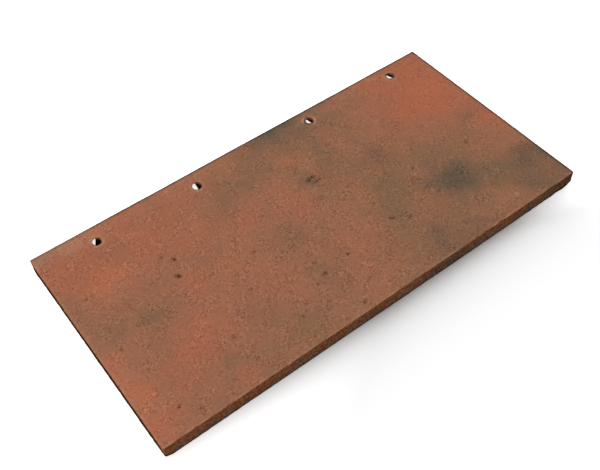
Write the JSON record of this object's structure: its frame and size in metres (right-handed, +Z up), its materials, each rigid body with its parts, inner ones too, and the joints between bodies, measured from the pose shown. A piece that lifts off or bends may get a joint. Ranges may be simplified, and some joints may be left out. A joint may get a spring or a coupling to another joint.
{
  "type": "clay roof tile",
  "caption": "Flat rectangular slab of sand-faced fired clay with rounded edges and a row of nail holes along its head edge, for covering roofs in lapped courses.",
  "frame": {"origin": "under the middle of the tile, on its bed face, where it lies on the floor", "axes": "+X along the tile's long side, with the course, +Y from the tail edge to the head edge with the nail holes, +Z up out of the weather face"},
  "size_m": [0.33, 0.165, 0.012],
  "materials": {
    "fired_clay": "unglazed, sand-faced, matt"
  },
  "bodies": {
    "root": {"tile": "fired_clay"}
  },
  "joints": []
}
